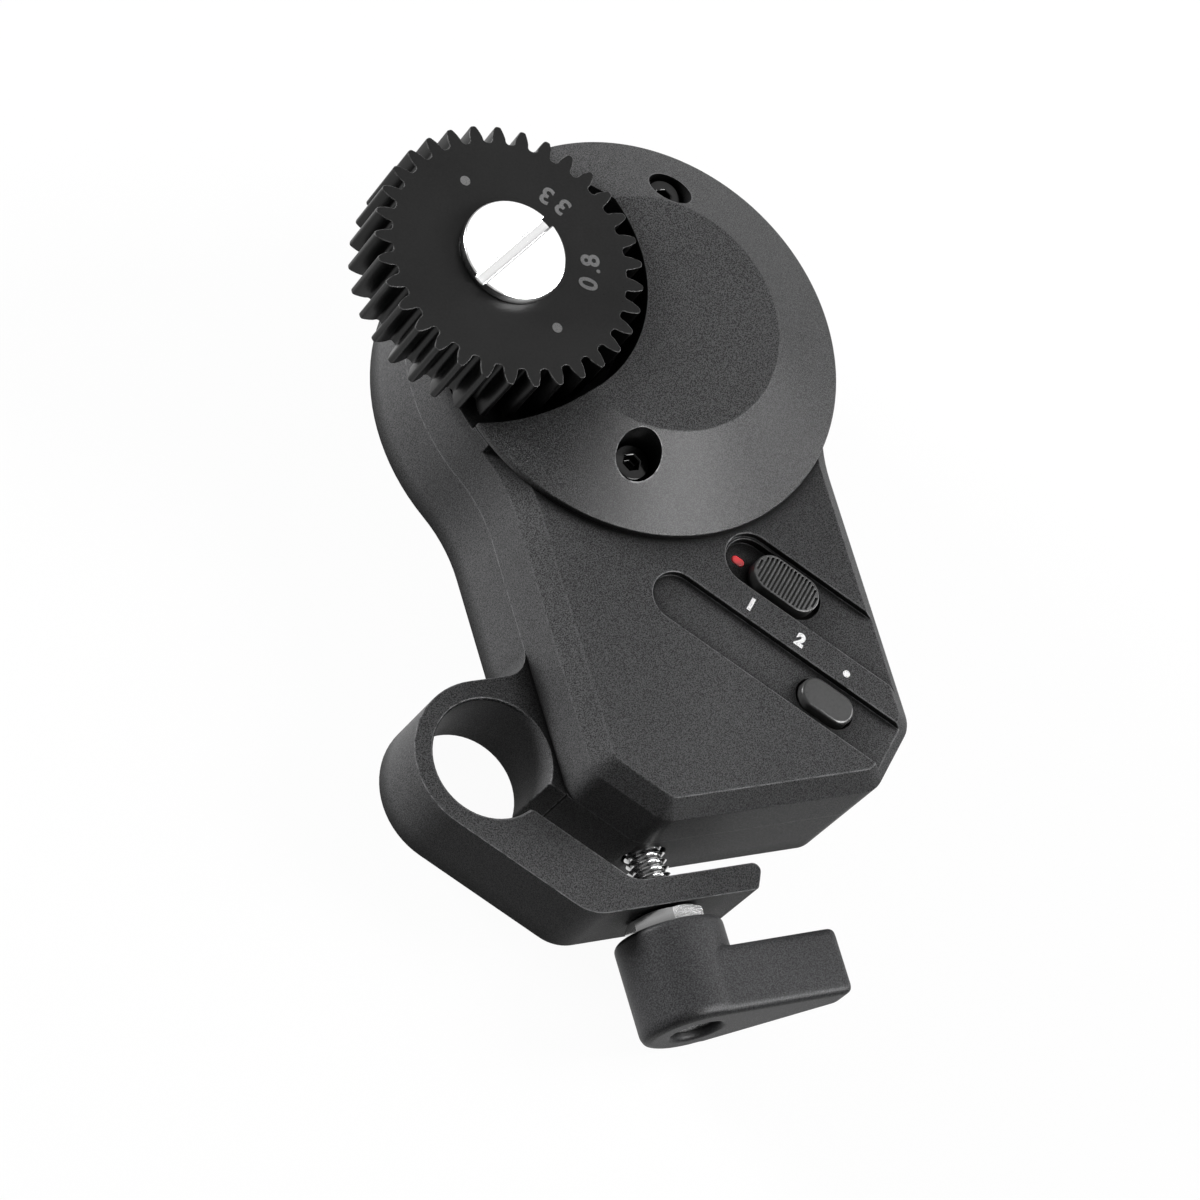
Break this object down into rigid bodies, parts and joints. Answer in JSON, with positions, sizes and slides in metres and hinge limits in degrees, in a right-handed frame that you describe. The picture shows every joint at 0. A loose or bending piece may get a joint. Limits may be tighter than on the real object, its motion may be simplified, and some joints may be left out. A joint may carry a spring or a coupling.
{
  "type": "focus and zoom servo",
  "caption": "Lens motor for a camera rig: toothed drive gear on a coned motor housing, slide switch and button, and a lever clamp for a round rod.",
  "frame": {"origin": "axis of the rod bore at the housing's back plane", "axes": "+Z out of the front plate and along the rod bore, +Y along the body towards the round motor cap, +X to the right seen from the front"},
  "size_m": [0.0538, 0.0885, 0.0258],
  "materials": {
    "case": "fine matt bead-blasted black",
    "gear_polymer": "smooth black",
    "bright_steel": "polished",
    "screw_steel": "turned",
    "shaft_steel": "ground",
    "bearing_steel": "ground",
    "plate_steel": "zinc plated",
    "gear_brass": "machined",
    "motor_steel": "zinc plated",
    "board": "solder mask",
    "chips": "moulded",
    "switch_plastic": "moulded",
    "pale_plastic": "moulded",
    "socket_steel": "bright",
    "red_paint": "paint",
    "knob_plastic": "fine matt",
    "insert_brass": "turned",
    "lever_metal": "satin black",
    "spring_steel": "drawn"
  },
  "bodies": {
    "housing": {"rear_housing": "case", "front_housing": "case", "motor_cap": "case", "cap_screws": "screw_steel", "case_screws": "screw_steel", "upper_bearing": "bearing_steel", "lower_bearing": "bearing_steel", "gearbox_plate": "plate_steel", "plate_screws": "screw_steel", "gear_pins": "shaft_steel", "motor_can": "motor_steel", "motor_screws": "screw_steel", "circuit_board": "board", "board_screws": "screw_steel", "board_chips": "chips", "slide_switch": "switch_plastic", "tact_switch": "switch_plastic", "usb_socket": "socket_steel", "red_mark": "red_paint", "thread_insert": "insert_brass"},
    "gear": {"drive_gear": "gear_polymer", "gear_screw": "bright_steel", "output_shaft": "shaft_steel"},
    "reduction_b": {"compound_gear_b": "gear_brass"},
    "reduction_a": {"compound_gear_a": "gear_brass"},
    "rotor": {"motor_rotor": "shaft_steel"},
    "clamp_screw": {"clamp_screw": "bright_steel", "lever_screw": "screw_steel", "lever_spring": "spring_steel"},
    "lever": {"clamp_lever": "lever_metal"},
    "knob": {"slide_knob": "knob_plastic", "switch_slider": "pale_plastic"},
    "button": {"push_button": "knob_plastic", "tact_plunger": "pale_plastic"}
  },
  "joints": [
    {"name": "gear_turn", "type": "hinge", "parent": "housing", "child": "gear", "pos_m": [0.00915, 0.0451, 0.01745], "axis": [0, 0, 1], "continuous": true},
    {"name": "reduction_b_turn", "type": "hinge", "parent": "housing", "child": "reduction_b", "pos_m": [0.01416, 0.04283, 0.004], "axis": [0, 0, 1], "continuous": true},
    {"name": "reduction_a_turn", "type": "hinge", "parent": "housing", "child": "reduction_a", "pos_m": [0.02389, 0.04054, 0.004], "axis": [0, 0, 1], "continuous": true},
    {"name": "rotor_turn", "type": "hinge", "parent": "housing", "child": "rotor", "pos_m": [0.03205, 0.03475, 0.004], "axis": [0, 0, 1], "continuous": true},
    {"name": "clamp_screw_turn", "type": "hinge", "parent": "housing", "child": "clamp_screw", "pos_m": [0.0148, -0.01685, 0.0056], "axis": [0, -1, 0], "range_deg": [0, 360]},
    {"name": "lever_pull", "type": "slide", "parent": "clamp_screw", "child": "lever", "axis": [0, -1, 0], "range_m": [0, 0.0025], "stiffness_N_per_m": 400, "springref_m": -0.002, "deforming": ["lever_spring"]},
    {"name": "knob_slide", "type": "slide", "parent": "housing", "child": "knob", "axis": [-0.7071, 0.7071, 0], "range_m": [0, 0.0025]},
    {"name": "button_press", "type": "slide", "parent": "housing", "child": "button", "axis": [0, 0, -1], "range_m": [0, 0.0005], "stiffness_N_per_m": 300}
  ],
  "couplings": [
    {"joint": "reduction_b_turn", "follows": "gear_turn", "ratio": -1.2},
    {"joint": "reduction_a_turn", "follows": "gear_turn", "ratio": 3.6},
    {"joint": "rotor_turn", "follows": "gear_turn", "ratio": -14.4}
  ]
}
